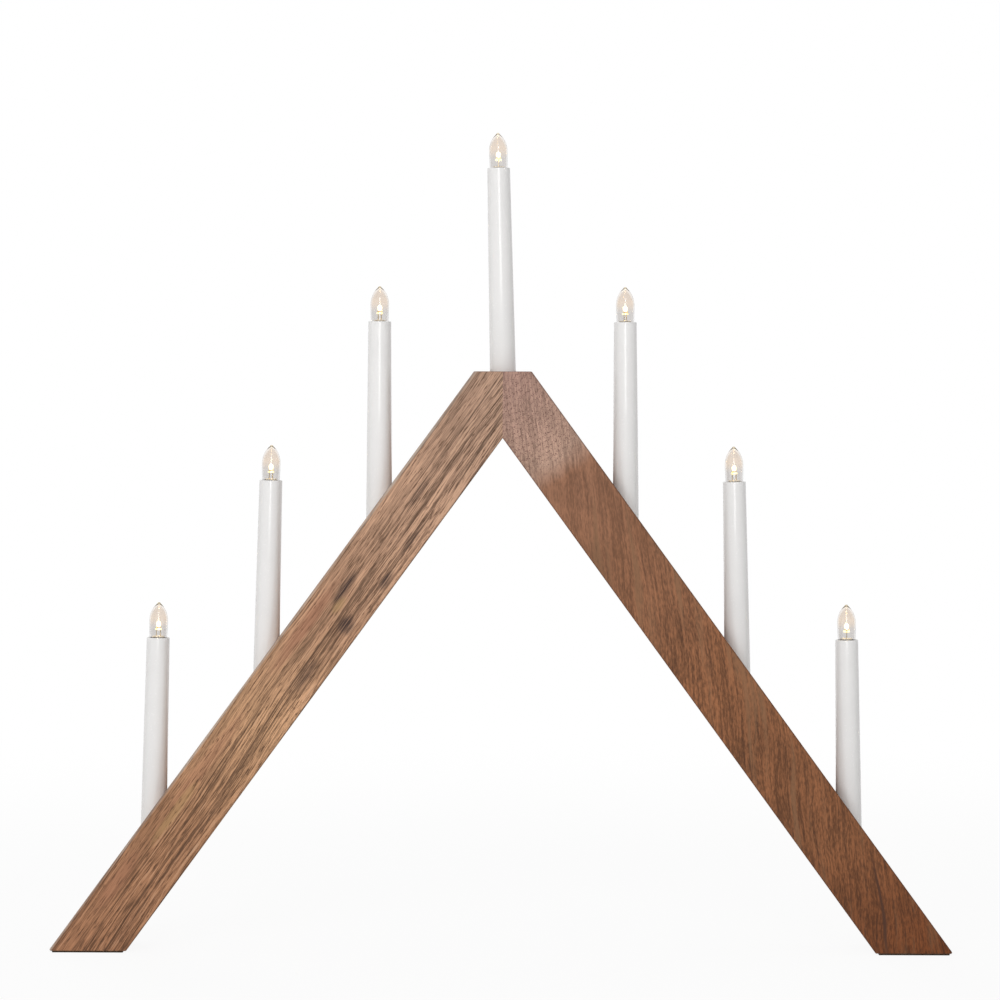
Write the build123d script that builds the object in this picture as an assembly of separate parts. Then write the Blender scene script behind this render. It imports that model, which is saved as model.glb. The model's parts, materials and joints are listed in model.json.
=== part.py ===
from build123d import *

import os
from math import cos, radians, sin, tan

# Electric candle arch: two mitred wooden legs carry seven candles, each a tapered
# tube with a lamp holder in its top and a flame-shaped screw bulb.
# Millimetres and degrees, +Z up, +X to the right seen from the front, +Y to the back.
# The origin lies on the floor under the middle of the arch.

# Arch
ARCH_WIDTH = 548.6  # between the outer corners of the feet
LEG_ANGLE = 36.1  # of each leg from the vertical
LEG_FACE = 38.0  # width of a leg's front face, square to its length
LEG_DEPTH = 45.0  # front face to back face
TOP_FLAT = 35.0  # width of the level cut at the apex
EDGE_ROUND = 0.8
OVERRUN = 1.0  # how far a cutting tool runs past the face that it opens

# Foot pads
PAD_THICKNESS = 1.2
PAD_INSET = 2.0

# Dowels across the mitre
DOWEL_D = 8.0
DOWEL_LENGTH = 30.0
DOWEL_CLEARANCE = 0.05

# Candle places, from the middle outwards, and the lean of each, left to right
INNER_OFFSET = 75.5  # axis of the inner candles from the middle
OUTER_SETBACK = 14.7  # axis of the outer candles inside the inner corner of the foot
TOP_SEAT = 15.5  # depth of each seat on its own axis
INNER_SEAT = 30.1
MIDDLE_SEAT = 33.5
OUTER_SEAT = 36.0
CANDLE_LEANS = (1.2, 1.2, 0.0, -1.4, -0.35, -1.15, -0.85)  # positive: top to the right

# Candle tubes
TUBE_LENGTH = 140.0
TUBE_WALL = 1.1
TUBE_TAPER = 2.2  # growth in diameter from the top to the base
TUBE_RIM_ROUND = 0.4
SEAT_CLEARANCE = 0.1

# Lamp holders, their threaded shells and their centre contacts
HOLDER_WALL = 0.5  # at its top
HOLDER_FIT = 0.05
HOLDER_RECESS = 0.6  # top of the holder below the rim of the tube
HOLDER_FLOOR = 3.0
SHELL_WALL = 0.4
SHELL_DROP = 0.4  # top of the shell below the rim of the cap
SHELL_CLEARANCE = 0.2
CONTACT_THICKNESS = 0.3
CONTACT_WIDTH = 2.6
CONTACT_RISE = 1.6
CONTACT_BEND = 0.4
CONTACT_GAP = 0.05
CONTACT_SHARES = (-0.86, -0.38, -0.12, 0.35)  # leaf corners, of the shell's inner radius
RIVET_D = 1.4
RIVET_TAIL = 0.6
RIVET_CLEARANCE = 0.05

# Screw bulbs
THREAD_PITCH = 1.814
THREAD_TURNS = 4
CAP_D = 9.4
CAP_WALL = 0.3
CAP_LIP = 0.75  # plain band above the thread
CAP_SINK = 2.4  # rim of the cap below the rim of the tube
CAP_ROUND = 0.5
CAP_HOLE_D = 5.0
TIP_TOP_D = 7.4
TIP_LOW_D = 4.4
TIP_CONE = 1.2
TIP_DOME_D = 3.4
TIP_DOME = 0.8
BULB_D = 11.2
BULB_HEIGHT = 21.5  # tip above the rim of the tube
BELLY_HEIGHT = 10.0  # widest point above the rim of the tube
BASE_SHARE = 0.5  # where the end tangents of the outline cross, of the way from belly to base
FLAME_SHARE = 0.61  # the same, of the way from belly to tip
ENVELOPE_WALL = 0.7
ENVELOPE_LIP = 0.4  # step from the cap out to the base of the envelope
NECK_LENGTH = 3.6
NECK_FIT = 0.1
NUB_D = 2.0
NUB_HEIGHT = 0.7
TIP_THICKNESS = 1.0  # of the envelope under the nub

# Light diodes and the plugs that carry them
LED_D = 3.0
LED_FLANGE_D = 3.9
LED_FLANGE = 0.9
LED_LENGTH = 5.3
LED_HEIGHT = 4.6  # underside above the rim of the tube
LEAD_SIDE = 0.45
LEAD_PITCH = 2.54
PLUG_HEIGHT = 0.9  # top above the rim of the tube
PLUG_FIT = 0.1
LED_TURNS = (15.0, 40.0, 46.0, 85.0, 60.0, 20.0, 85.0)  # where each bulb stops, left to right

# Wiring groove in the undersides of the legs, and its cover strips
GROOVE_WIDTH = 9.0
GROOVE_DEPTH = 4.5
GROOVE_MARGIN = 3.0  # past the lowest wire hole
STRIP_WIDTH = 20.0
STRIP_THICKNESS = 2.0
STRIP_LAP = 4.0  # past the lower end of the groove
STRIP_CLEARANCE = 0.15
WIRE_HOLE_D = 7.6

# Countersunk screws of the cover strips
SCREW_COUNT = 4
SCREW_END = 12.0  # from the ends of a strip
SCREW_D = 2.4
SCREW_HEAD_D = 4.6
SCREW_RIM = 0.2  # upright edge of the head
SCREW_HEAD = 1.4
SCREW_LENGTH = 10.0
SCREW_CLEARANCE = 0.05

# Cord gland in the back of the right leg
GLAND_BORE_D = 5.6
GLAND_D = 8.0
GLAND_LENGTH = 10.0
GLAND_FLANGE_D = 12.0
GLAND_FLANGE = 1.8
GLAND_ROUND = 0.6
GLAND_CLEARANCE = 0.1
GLAND_DROP = 5.5  # axis below the seat of the last candle

# Wires
WIRE_D = 1.5
WIRE_SIDE = 1.9  # of the link wires from the middle of the groove
WIRE_TURN = 7.0  # reach of the turn from a wire hole into the groove
WIRE_BEND = 2.6
WIRE_SWEEP = 8.0
WIRE_APEX_REACH = 3.0
WIRE_APEX_BEND = 3.0
WIRE_STEP = 1.5  # supply above and return below the axis of the gland
WIRE_GLAND_BEND = 1.8
WIRE_GLAND_GAP = 0.5

# Worked out for the arch
leg_sin = sin(radians(LEG_ANGLE))
leg_cos = cos(radians(LEG_ANGLE))
leg_tan = tan(radians(LEG_ANGLE))
leg_run = LEG_FACE / leg_cos
half_width = ARCH_WIDTH / 2
foot_inner = half_width - leg_run
wood_base = PAD_THICKNESS
wood_top = wood_base + (half_width - TOP_FLAT / 2) / leg_tan
inner_apex = wood_base + foot_inner / leg_tan
back_face = LEG_DEPTH / 2

# Worked out for the candles, each in its own frame with the tube's rim at zero
cap_radius = CAP_D / 2
shell_inner = cap_radius + SHELL_CLEARANCE
shell_outer = shell_inner + SHELL_WALL
holder_bore = shell_outer + HOLDER_FIT
tube_inner = holder_bore + HOLDER_WALL + HOLDER_FIT
tube_top = tube_inner + TUBE_WALL
tube_base = tube_top + TUBE_TAPER / 2
seat_radius = tube_base + SEAT_CLEARANCE
cap_rim = -CAP_SINK
cap_bottom = cap_rim - CAP_LIP - THREAD_TURNS * THREAD_PITCH
tip_bottom = cap_bottom - TIP_CONE - TIP_DOME
leaf_top = tip_bottom - CONTACT_GAP
floor_top = leaf_top - CONTACT_RISE
holder_top = -HOLDER_RECESS
holder_bottom = floor_top - HOLDER_FLOOR
neck_outer = cap_radius - CAP_WALL - NECK_FIT
neck_inner = neck_outer - ENVELOPE_WALL
rivet_x = shell_inner * (CONTACT_SHARES[0] + CONTACT_SHARES[1]) / 2

# Worked out for the wiring
groove_middle = STRIP_THICKNESS + GROOVE_DEPTH / 2
groove_corner = inner_apex + groove_middle / leg_sin
groove_start = (OUTER_SETBACK - WIRE_HOLE_D / 2) / leg_sin - GROOVE_MARGIN
strip_start = groove_start - STRIP_LAP
strip_end = foot_inner / leg_sin
shoulder_middle = (GROOVE_WIDTH + STRIP_WIDTH) / 4
dowel_side = (seat_radius + back_face) / 2
wires_end = back_face - GLAND_FLANGE - GLAND_LENGTH - WIRE_GLAND_GAP

LEFT = -1
RIGHT = 1


def leg_point(side, along, inward, y=0.0):
    """Point of a leg, counted from the inner foot corner along and into its underside."""
    x = side * (foot_inner - along * leg_sin + inward * leg_cos)
    return Vector(x, y, wood_base + along * leg_cos + inward * leg_sin)


def inward_of(side):
    """Direction into the wood, square to a leg's underside."""
    return Vector(side * leg_cos, 0, leg_sin)


def prism(points, width):
    """Solid of an outline in the XZ plane, spread evenly to the front and the back."""
    return extrude(make_face(Polyline(*points, close=True)), amount=width / 2, both=True)


def leg_slot(side, start, end, depth, width):
    """Straight slot along a leg's underside."""
    corners = ((start, -OVERRUN), (end, -OVERRUN), (end, depth), (start, depth))
    return prism([leg_point(side, along, inward) for along, inward in corners], width)


def lathe(*points):
    """Solid of revolution about Z from (radius, height) corners."""
    return revolve(make_face(Polyline(*[(r, 0, z) for r, z in points], close=True)), Axis.Z)


def rod(radius, low, high, x=0.0, y=0.0):
    """Cylinder along Z between two heights."""
    return Pos(x, y, (low + high) / 2) * Cylinder(radius, high - low)


def candle_places():
    """Location of each tube's rim, left to right, with its side and the depth of its seat."""
    outer_offset = foot_inner - OUTER_SETBACK
    middle_offset = (INNER_OFFSET + outer_offset) / 2
    rows = (
        (LEFT, outer_offset, OUTER_SEAT),
        (LEFT, middle_offset, MIDDLE_SEAT),
        (LEFT, INNER_OFFSET, INNER_SEAT),
        (0, 0, TOP_SEAT),
        (RIGHT, INNER_OFFSET, INNER_SEAT),
        (RIGHT, middle_offset, MIDDLE_SEAT),
        (RIGHT, outer_offset, OUTER_SEAT),
    )
    places = []
    for (side, offset, seat), lean in zip(rows, CANDLE_LEANS):
        mouth = wood_base + (half_width - offset) / leg_tan if side else wood_top
        rim = Pos(side * offset, 0, mouth) * Rot(Y=lean) * Pos(0, 0, TUBE_LENGTH - seat)
        places.append((rim, side))
    return places


PLACES = candle_places()


def axis_point(index, below, y=0.0):
    """Point on a candle's axis, counted down from the rim of its tube."""
    return (PLACES[index][0] * Pos(0, y, -below)).position


def groove_drop(index):
    """Distance down a candle's axis from the rim to the middle of the groove."""
    rim, side = PLACES[index]
    into = inward_of(side)
    up = axis_point(index, 0) - axis_point(index, TUBE_LENGTH)
    height = (rim.position - leg_point(side, 0, groove_middle)).dot(into)
    return height / up.normalized().dot(into)


GLAND_POINT = axis_point(-1, TUBE_LENGTH + GLAND_DROP, back_face)


def gland_plane():
    """Plane of the gland's outer face, looking out of the back."""
    return Plane(origin=GLAND_POINT, x_dir=(1, 0, 0), z_dir=(0, 1, 0))


def screw_planes(side):
    """Planes of a strip's screws on its outer face, looking into the wood."""
    step = (strip_end - strip_start - 2 * SCREW_END) / (SCREW_COUNT - 1)
    planes = []
    for i in range(SCREW_COUNT):
        y = shoulder_middle if i % 2 else -shoulder_middle
        origin = leg_point(side, strip_start + SCREW_END + i * step, 0, y)
        planes.append(Plane(origin=origin, x_dir=(0, 1, 0), z_dir=inward_of(side)))
    return planes


def screw_form(clearance, start):
    """Countersunk screw along Z, grown by a clearance and begun at a height."""
    head = SCREW_HEAD_D / 2 + clearance
    shank = SCREW_D / 2 + clearance
    rim = SCREW_RIM + clearance
    end = SCREW_LENGTH + clearance
    return lathe((0, start), (head, start), (head, rim), (shank, SCREW_HEAD), (shank, end), (0, end))


def screws():
    """Every screw of the two strips."""
    planes = screw_planes(LEFT) + screw_planes(RIGHT)
    return [plane * screw_form(0, 0) for plane in planes]


def dowels(clearance):
    """The two dowels across the mitre, grown by a clearance."""
    z = (inner_apex + wood_top) / 2
    pin = Rot(Y=90) * Cylinder(DOWEL_D / 2 + clearance, DOWEL_LENGTH + 2 * clearance)
    return [Pos(0, y, z) * pin for y in (-dowel_side, dowel_side)]


def leg(side):
    """A leg with its seats, wire holes, wiring groove and dowel holes."""
    outline = (
        (side * half_width, 0, wood_base),
        (side * foot_inner, 0, wood_base),
        (0, 0, inner_apex),
        (0, 0, wood_top),
        (side * TOP_FLAT / 2, 0, wood_top),
    )
    body = prism(outline, LEG_DEPTH)
    body = fillet([e for e in body.edges() if abs(e.center().X) > OVERRUN], EDGE_ROUND)
    past_apex = strip_end + LEG_FACE
    groove_top = STRIP_THICKNESS + GROOVE_DEPTH
    rebate_width = STRIP_WIDTH + 2 * STRIP_CLEARANCE
    body -= leg_slot(side, groove_start, past_apex, groove_top, GROOVE_WIDTH)
    body -= leg_slot(side, strip_start - STRIP_CLEARANCE, past_apex, STRIP_THICKNESS, rebate_width)
    for rim, place_side in PLACES:
        if place_side != -side:
            body -= rim * rod(seat_radius, -TUBE_LENGTH, 0)
            body -= rim * rod(WIRE_HOLE_D / 2, -TUBE_LENGTH - LEG_FACE / leg_sin, -TUBE_LENGTH)
    for hole in dowels(DOWEL_CLEARANCE):
        body -= hole
    for plane in screw_planes(side):
        body -= plane * screw_form(SCREW_CLEARANCE, -OVERRUN)
    if side == RIGHT:
        body -= gland_plane() * rod(GLAND_D / 2 + GLAND_CLEARANCE, -back_face, OVERRUN)
        body -= gland_plane() * rod(GLAND_FLANGE_D / 2 + GLAND_CLEARANCE, -GLAND_FLANGE, OVERRUN)
    return body


def cover_strip(side):
    """Strip that closes the wiring groove, mitred against its twin at the apex."""
    mitre = (foot_inner - STRIP_CLEARANCE) / leg_sin
    corners = (
        (strip_start, 0),
        (mitre, 0),
        (mitre + STRIP_THICKNESS / leg_tan, STRIP_THICKNESS),
        (strip_start, STRIP_THICKNESS),
    )
    strip = prism([leg_point(side, along, inward) for along, inward in corners], STRIP_WIDTH)
    for plane in screw_planes(side):
        strip -= plane * screw_form(SCREW_CLEARANCE, -OVERRUN)
    return strip


def foot_pad(side):
    """Felt pad under a foot."""
    middle = side * (half_width - leg_run / 2)
    pad = Box(leg_run - 2 * PAD_INSET, LEG_DEPTH - 2 * PAD_INSET, PAD_THICKNESS)
    return Pos(middle, 0, PAD_THICKNESS / 2) * pad


def cord_gland():
    """Flush bush that leads the cord in through the back."""
    bore = GLAND_BORE_D / 2
    inner_end = -GLAND_FLANGE - GLAND_LENGTH
    bush = lathe(
        (bore, inner_end),
        (GLAND_D / 2, inner_end),
        (GLAND_D / 2, -GLAND_FLANGE),
        (GLAND_FLANGE_D / 2, -GLAND_FLANGE),
        (GLAND_FLANGE_D / 2, 0),
        (bore, 0),
    )
    mouth = bush.edges().filter_by(GeomType.CIRCLE).group_by(Axis.Z)[-1]
    return gland_plane() * fillet(mouth, GLAND_ROUND)


def candle_tube():
    """Tapered tube with a rounded rim."""
    tube = lathe(
        (tube_inner, 0),
        (tube_top, 0),
        (tube_base, -TUBE_LENGTH),
        (tube_base - TUBE_WALL, -TUBE_LENGTH),
    )
    rim = tube.edges().filter_by(GeomType.CIRCLE).group_by(Axis.Z)[-1]
    return fillet(rim, TUBE_RIM_ROUND)


def holder_radius(height):
    """Outer radius of the holder, which jams in the taper of the tube."""
    return tube_inner - HOLDER_FIT - height / TUBE_LENGTH * TUBE_TAPER / 2


def lamp_holder():
    """Moulded holder with a bore for the shell and a riveted floor."""
    body = lathe(
        (0, holder_bottom),
        (holder_radius(holder_bottom), holder_bottom),
        (holder_radius(holder_top), holder_top),
        (holder_bore, holder_top),
        (holder_bore, floor_top),
        (0, floor_top),
    )
    return body - rod(RIVET_D / 2 + RIVET_CLEARANCE, holder_bottom, floor_top, rivet_x)


def holder_shell():
    """Thin sleeve that takes the thread of the cap and stands on the holder's floor."""
    top = cap_rim - SHELL_DROP
    return lathe((shell_inner, floor_top), (shell_outer, floor_top), (shell_outer, top), (shell_inner, top))


def holder_contact():
    """Spring leaf under the tip of the bulb, riveted to the floor of the holder."""
    low = floor_top + CONTACT_THICKNESS / 2
    high = leaf_top - CONTACT_THICKNESS / 2
    corners = [(share * shell_inner, 0, z) for share, z in zip(CONTACT_SHARES, (low, low, high, high))]
    path = FilletPolyline(*corners, radius=CONTACT_BEND)
    section = Plane(origin=corners[0], x_dir=(0, 1, 0), z_dir=(1, 0, 0)) * Rectangle(
        CONTACT_WIDTH, CONTACT_THICKNESS
    )
    return sweep(section, path) + rod(RIVET_D / 2, holder_bottom - RIVET_TAIL, low, rivet_x)


def bulb_cap():
    """Screw cap, open at the top and turned in at the bottom."""
    inner = cap_radius - CAP_WALL
    floor = cap_bottom + CAP_WALL
    return lathe(
        (CAP_HOLE_D / 2, cap_bottom),
        (cap_radius - CAP_ROUND, cap_bottom),
        (cap_radius, cap_bottom + CAP_ROUND),
        (cap_radius, cap_rim),
        (inner, cap_rim),
        (inner, floor + CAP_ROUND),
        (inner - CAP_ROUND, floor),
        (CAP_HOLE_D / 2, floor),
    )


def bulb_contact():
    """Insulating cone with the contact dome, under the cap."""
    dome_top = cap_bottom - TIP_CONE
    outline = Polyline(
        (0, 0, tip_bottom),
        (0, 0, cap_bottom),
        (TIP_TOP_D / 2, 0, cap_bottom),
        (TIP_LOW_D / 2, 0, dome_top),
        (TIP_DOME_D / 2, 0, dome_top),
    )
    dome = TangentArc((0, 0, tip_bottom), (TIP_DOME_D / 2, 0, dome_top), tangent=(1, 0, 0))
    return revolve(make_face(outline + dome), Axis.Z)


def envelope_curve(belly, end, share):
    """Curve that leaves the belly upright and runs to an end of the flame."""
    (radius, height), (end_radius, end_height) = belly, end
    crossing = height + share * (end_height - height)
    return Bezier((radius, 0, height), (radius, 0, crossing), (end_radius, 0, end_height))


def envelope_side(belly_radius, base, tip):
    """Flame outline from the base by the belly up to the tip."""
    belly = (belly_radius, BELLY_HEIGHT)
    return envelope_curve(belly, base, BASE_SHARE) + envelope_curve(belly, tip, FLAME_SHARE)


def bulb_envelope():
    """Clear hollow flame with a nub on its tip and a neck that seats in the cap."""
    base = cap_radius + ENVELOPE_LIP
    inner_base = base - ENVELOPE_WALL
    ledge = cap_rim + ENVELOPE_WALL
    nub_foot = BULB_HEIGHT - NUB_HEIGHT
    hollow_top = nub_foot - TIP_THICKNESS
    neck_end = cap_rim - NECK_LENGTH
    outer = envelope_side(BULB_D / 2, (base, cap_rim), (NUB_D / 2, nub_foot))
    inner = envelope_side(BULB_D / 2 - ENVELOPE_WALL, (inner_base, ledge), (0, hollow_top))
    nub = TangentArc((0, 0, BULB_HEIGHT), (NUB_D / 2, 0, nub_foot), tangent=(1, 0, 0))
    core = Line((0, 0, BULB_HEIGHT), (0, 0, hollow_top))
    neck = Polyline(
        (base, 0, cap_rim),
        (neck_outer, 0, cap_rim),
        (neck_outer, 0, neck_end),
        (neck_inner, 0, neck_end),
        (neck_inner, 0, ledge),
        (inner_base, 0, ledge),
    )
    return revolve(make_face(outer + nub + core + inner + neck), Axis.Z)


def bulb_led(turn):
    """Diode with its two leads, on the plug that stands in the cap."""
    radius = LED_D / 2
    top = LED_HEIGHT + LED_LENGTH
    flange_top = LED_HEIGHT + LED_FLANGE
    outline = Polyline(
        (0, 0, top),
        (0, 0, LED_HEIGHT),
        (LED_FLANGE_D / 2, 0, LED_HEIGHT),
        (LED_FLANGE_D / 2, 0, flange_top),
        (radius, 0, flange_top),
        (radius, 0, top - radius),
    )
    dome = TangentArc((radius, 0, top - radius), (0, 0, top), tangent=(0, 0, 1))
    lens = revolve(make_face(outline + dome), Axis.Z)
    plug = rod(neck_inner - PLUG_FIT, cap_bottom + CAP_WALL, PLUG_HEIGHT)
    lead = Box(LEAD_SIDE, LEAD_SIDE, LED_HEIGHT - PLUG_HEIGHT)
    middle = (LED_HEIGHT + PLUG_HEIGHT) / 2
    leads = [Pos(x, 0, middle) * lead for x in (-LEAD_PITCH / 2, LEAD_PITCH / 2)]
    return [Rot(Z=turn) * piece for piece in (lens, plug, *leads)]


def wire(points, radii):
    """Round wire along straight runs joined by tangent arcs."""
    path = FilletPolyline(*points, radius=radii)
    return sweep(Plane(origin=path @ 0, z_dir=path % 0) * Circle(WIRE_D / 2), path)


def terminal(index, y):
    """End of a wire under the floor of a holder."""
    return axis_point(index, -holder_bottom, y)


def turn_points(index, y):
    """The two corners of a wire's turn from a wire hole up into the groove."""
    drop = groove_drop(index)
    side = PLACES[index][1]
    middle = axis_point(index, drop, y)
    up_leg = leg_point(side, WIRE_TURN, 0) - leg_point(side, 0, 0)
    return [axis_point(index, drop - WIRE_TURN, y), middle + up_leg]


def link_wires():
    """Wires from candle to candle, by turns behind and in front of the middle."""
    links = []
    for lower in range(len(PLACES) - 1):
        upper = lower + 1
        y = -WIRE_SIDE if lower % 2 else WIRE_SIDE
        if PLACES[lower][1] != LEFT:
            lower, upper = upper, lower
        bend = axis_point(upper, groove_drop(upper), y) if PLACES[upper][1] else Vector(0, y, groove_corner)
        points = [terminal(lower, y), *turn_points(lower, y), bend, terminal(upper, y)]
        links.append(wire(points, [WIRE_BEND, WIRE_BEND, WIRE_SWEEP]))
    return links


def supply_wire():
    """Wire from the gland up to the last candle."""
    level = TUBE_LENGTH + GLAND_DROP - WIRE_STEP
    points = [axis_point(-1, level, y) for y in (wires_end, WIRE_SIDE)]
    return wire([*points, terminal(-1, WIRE_SIDE)], [WIRE_GLAND_BEND])


def return_wire():
    """Wire from the first candle through the whole groove to the gland."""
    reach_x = WIRE_APEX_REACH * leg_sin
    reach_z = groove_corner - WIRE_APEX_REACH * leg_cos
    apex = [Vector(side * reach_x, 0, reach_z) for side in (LEFT, RIGHT)]
    level = TUBE_LENGTH + GLAND_DROP + WIRE_STEP
    points = [terminal(0, 0), *turn_points(0, 0), *apex, *reversed(turn_points(-1, 0))]
    points += [axis_point(-1, level, y) for y in (0, wires_end)]
    bends = [WIRE_BEND, WIRE_BEND, WIRE_APEX_BEND, WIRE_APEX_BEND, WIRE_BEND, WIRE_BEND, WIRE_GLAND_BEND]
    return wire(points, bends)


def fixed_nodes():
    """Nodes of the arch itself."""
    return {
        "left_leg": [leg(LEFT)],
        "right_leg": [leg(RIGHT)],
        "mitre_dowels": dowels(0),
        "left_cover_strip": [cover_strip(LEFT)],
        "right_cover_strip": [cover_strip(RIGHT)],
        "strip_screws": screws(),
        "left_foot_pad": [foot_pad(LEFT)],
        "right_foot_pad": [foot_pad(RIGHT)],
        "cord_gland": [cord_gland()],
        "link_wires": link_wires(),
        "supply_wire": [supply_wire()],
        "return_wire": [return_wire()],
        "holder_shells": [rim * holder_shell() for rim, _ in PLACES],
        "holder_contacts": [rim * holder_contact() for rim, _ in PLACES],
    }


def candle_nodes(number, rim, turn):
    """Nodes of one candle."""
    pieces = {
        "candle_tube": [candle_tube()],
        "lamp_holder": [lamp_holder()],
        "bulb_cap": [bulb_cap()],
        "bulb_contact": [bulb_contact()],
        "bulb_envelope": [bulb_envelope()],
        "bulb_led": bulb_led(turn),
    }
    return {f"{name}_{number}": [rim * solid for solid in solids] for name, solids in pieces.items()}


def main():
    nodes = fixed_nodes()
    for number, ((rim, _), turn) in enumerate(zip(PLACES, LED_TURNS), start=1):
        nodes.update(candle_nodes(number, rim, turn))
    os.makedirs("parts", exist_ok=True)
    for name, solids in nodes.items():
        export_step(Compound(children=solids), f"parts/{name}.step")


if __name__ == "__main__":
    main()
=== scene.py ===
import json
import math

import bpy
from mathutils import Matrix, Vector


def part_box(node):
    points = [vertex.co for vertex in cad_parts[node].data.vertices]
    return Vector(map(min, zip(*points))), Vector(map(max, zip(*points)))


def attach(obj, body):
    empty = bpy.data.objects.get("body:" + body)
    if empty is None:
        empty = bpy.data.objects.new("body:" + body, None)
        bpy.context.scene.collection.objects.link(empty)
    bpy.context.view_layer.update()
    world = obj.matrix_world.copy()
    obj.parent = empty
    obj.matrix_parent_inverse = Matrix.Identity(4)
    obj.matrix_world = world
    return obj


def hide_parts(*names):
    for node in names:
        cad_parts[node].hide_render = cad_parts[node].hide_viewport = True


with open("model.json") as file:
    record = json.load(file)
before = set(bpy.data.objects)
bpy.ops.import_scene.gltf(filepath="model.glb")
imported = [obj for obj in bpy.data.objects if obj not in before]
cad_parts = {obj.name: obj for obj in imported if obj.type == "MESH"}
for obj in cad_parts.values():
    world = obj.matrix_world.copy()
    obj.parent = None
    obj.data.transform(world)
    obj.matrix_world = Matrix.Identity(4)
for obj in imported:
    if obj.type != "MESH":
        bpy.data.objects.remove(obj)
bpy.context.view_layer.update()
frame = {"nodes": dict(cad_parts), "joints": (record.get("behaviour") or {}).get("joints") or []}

bl_info = {
    "name": "Candle Arch",
    "version": (1, 0, 0),
    "blender": (4, 5, 0),
    "location": "View3D > Sidebar > Candle Arch",
    "description": "Dresses the electric candle arch: wood, candle tubes, screw bulbs, fittings and stage",
    "category": "Object",
}

MM = 0.001
LEFT, MIDDLE, RIGHT = -1, 0, 1
NODES = frame["nodes"]
SCREW_JOINTS = [j for j in frame["joints"] if j["type"] == "hinge"]
NUMBERS = range(1, len(SCREW_JOINTS) + 1)

# Inside sizes of one candle in millimetres, counted from the rim of its tube at zero
TUBE_LENGTH = 140.0
TUBE_TOP, TUBE_BASE, TUBE_WALL, TUBE_RIM_ROUND = 7.0, 8.1, 1.1, 0.4
CAP_RIM, CAP_BOTTOM, CAP_RADIUS, CAP_WALL, CAP_LIP = -2.4, -10.406, 4.7, 0.3, 0.75
CAP_HOLE, CAP_ROUND, CAP_EDGE, CAP_STEP, CAP_RINGS = 2.5, 0.5, 0.1, 0.2, 48
THREAD_PITCH, THREAD_DEPTH, THREAD_FADE = 1.814, 0.42, 0.9
FLAME_BASE, BELLY, BELLY_HEIGHT, FLAME_WALL = 5.1, 5.6, 10.0, 0.7
FLAME_TOP, NUB_RADIUS, NUB_HEIGHT, TIP_THICKNESS = 21.5, 1.0, 0.7, 1.0
BASE_SHARE, FLAME_SHARE = 0.5, 0.61
NECK_OUTER, NECK_INNER, NECK_END = 4.3, 3.6, -6.0
LENS_RADIUS, LENS_FOOT, LENS_LENGTH = 1.5, 4.6, 5.3
FLANGE_RADIUS, FLANGE_HEIGHT, FLANGE_ROUND, FLANGE_FILLET = 1.95, 0.9, 0.15, 0.06
PHOSPHOR = (
    (0, 6.72), (0.46, 6.74), (0.54, 6.9), (0.52, 7.4), (0.45, 8.1), (0.33, 8.8), (0.16, 9.25), (0, 9.35),
)
LEAD_SIDE, LEAD_PITCH, LEAD_ROUND = 0.45, 2.54, 0.05
PLUG_RADIUS, PLUG_TOP, PLUG_BOTTOM, PLUG_ROUND = 3.5, 0.9, -10.1, 0.25
PLUG_RING_OUTER, PLUG_RING_INNER, PLUG_RING_DEPTH, PLUG_RING_SLOPE = 2.5, 2.0, 0.25, 0.1
LED_TURNS = (15.0, 40.0, 46.0, 85.0, 60.0, 20.0, 85.0)

# Tops of the two leads inside the resin: each section's move, its growth and its middle beside the lead
LEAD_TOPS = {
    LEFT: (
        ((0, 0, 0.5), (1, 1), 0), ((0.25, 0, 0.35), (2.6, 1.5), 0.25), ((0.2, 0, 1.0), (1.15, 1.35), 0.5),
        ((0, 0, 0), (0.62, 0.72), 0.62), ((0, 0, -0.3), (0.6, 0.6), 0.62),
    ),
    RIGHT: (
        ((0, 0, 0.5), (1, 1), 0), ((-0.2, 0, 0.6), (1.5, 1.0), -0.2), ((0, 0, 0.8), (1, 1), -0.2),
        ((-0.15, 0, 0.25), (0.7, 0.8), -0.3),
    ),
}

LEG_FACE, LEG_DEPTH = 38.0, 45.0
FELT_ROUND = 0.35

# Steps round each turned piece, and along a flame above and below its belly
TUBE_STEPS, FLAME_STEPS, CAP_STEPS, SCREW_STEPS = 96, 72, 64, 40
LENS_STEPS, PLUG_STEPS, PHOSPHOR_STEPS = 48, 48, 24
ABOVE_BELLY, BELOW_BELLY = 22, 12

# Closeness in metres of points that are one, sharpest corner shaded smooth, least rise of an upward normal
MERGE = 1e-7
SMOOTH_ANGLE = math.radians(35)
UPWARD = 0.9

# The stage in metres: the floor, and each lamp's place, its width and height, and whether gloss mirrors it
FLOOR_SIZE, FLOOR_DROP, FLOOR_CUTS = 9.0, 0.02 * MM, 8
LAMP_TARGET = (0.0, 0.0, 0.28)
LAMPS = {
    "key": ((-1.45, -2.8, 1.2), (1.2, 1.45), False),
    "fill": ((0.0, -2.5, 1.2), (0.7, 1.9), True),
    "back": ((-0.7, 2.4, 1.0), (1.2, 1.4), False),
}
SENSOR_WIDTH, CLIP_START, CLIP_END = 36.0, 0.05, 50.0


# Settings


def tint(name, description, default):
    """A colour that a user can change."""
    return bpy.props.FloatVectorProperty(
        name=name, description=description, default=default, size=3, subtype="COLOR"
    )


def lamp_power(name, description, default):
    """The power of a lamp."""
    return bpy.props.FloatProperty(
        name=name, description=description, default=default, min=0.0, unit="POWER"
    )


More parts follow.
